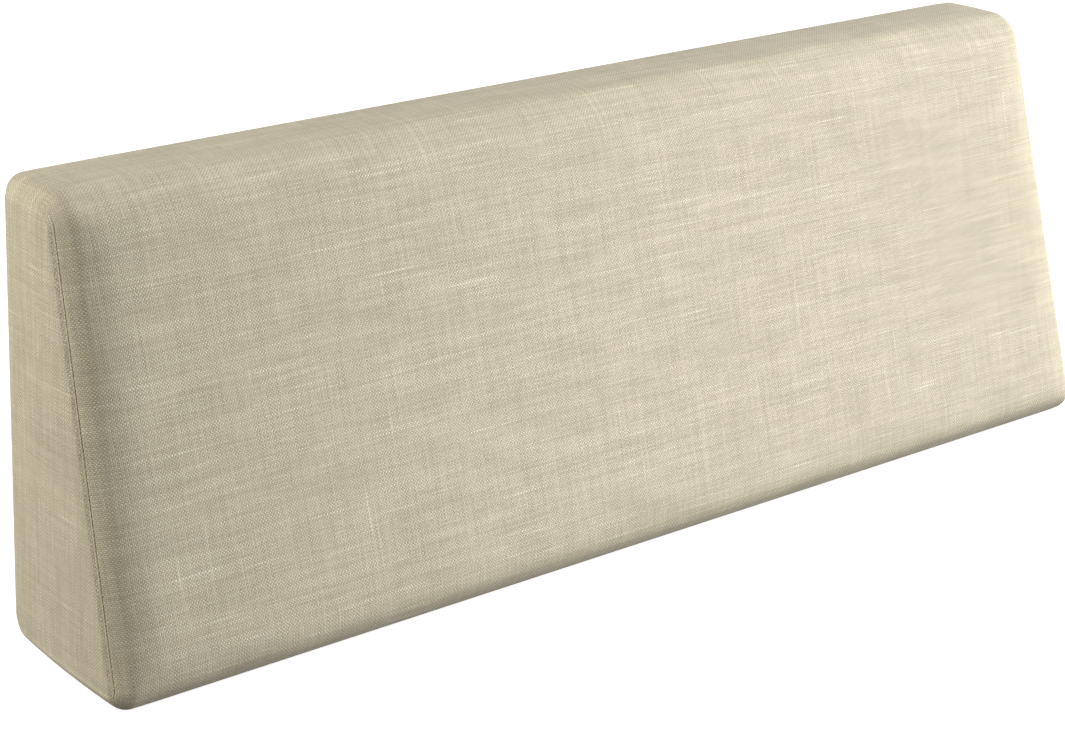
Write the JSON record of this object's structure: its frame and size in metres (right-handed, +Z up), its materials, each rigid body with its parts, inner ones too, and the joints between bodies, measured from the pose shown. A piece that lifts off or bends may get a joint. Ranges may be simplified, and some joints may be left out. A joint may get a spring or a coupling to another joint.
{
  "type": "backrest pillow",
  "caption": "Firm wedge-shaped backrest cushion with a slanted front, upright back, narrow top and wide base, in a plain-weave cover with a sewn-in panel at each end.",
  "frame": {"origin": "under the middle of the bounding box, on the surface that the base stands on", "axes": "+Z up, +X along the length, -Y towards the slanted front, +Y towards the upright back"},
  "size_m": [1.2026, 0.2142, 0.4329],
  "materials": {
    "cover_cloth": "sand-coloured plain weave with lighter slubs, matt",
    "panel_cloth": "the same sand-coloured plain weave, matt"
  },
  "bodies": {
    "root": {"cushion": "cover_cloth", "end_panel_left": "panel_cloth", "end_panel_right": "panel_cloth"}
  },
  "joints": []
}
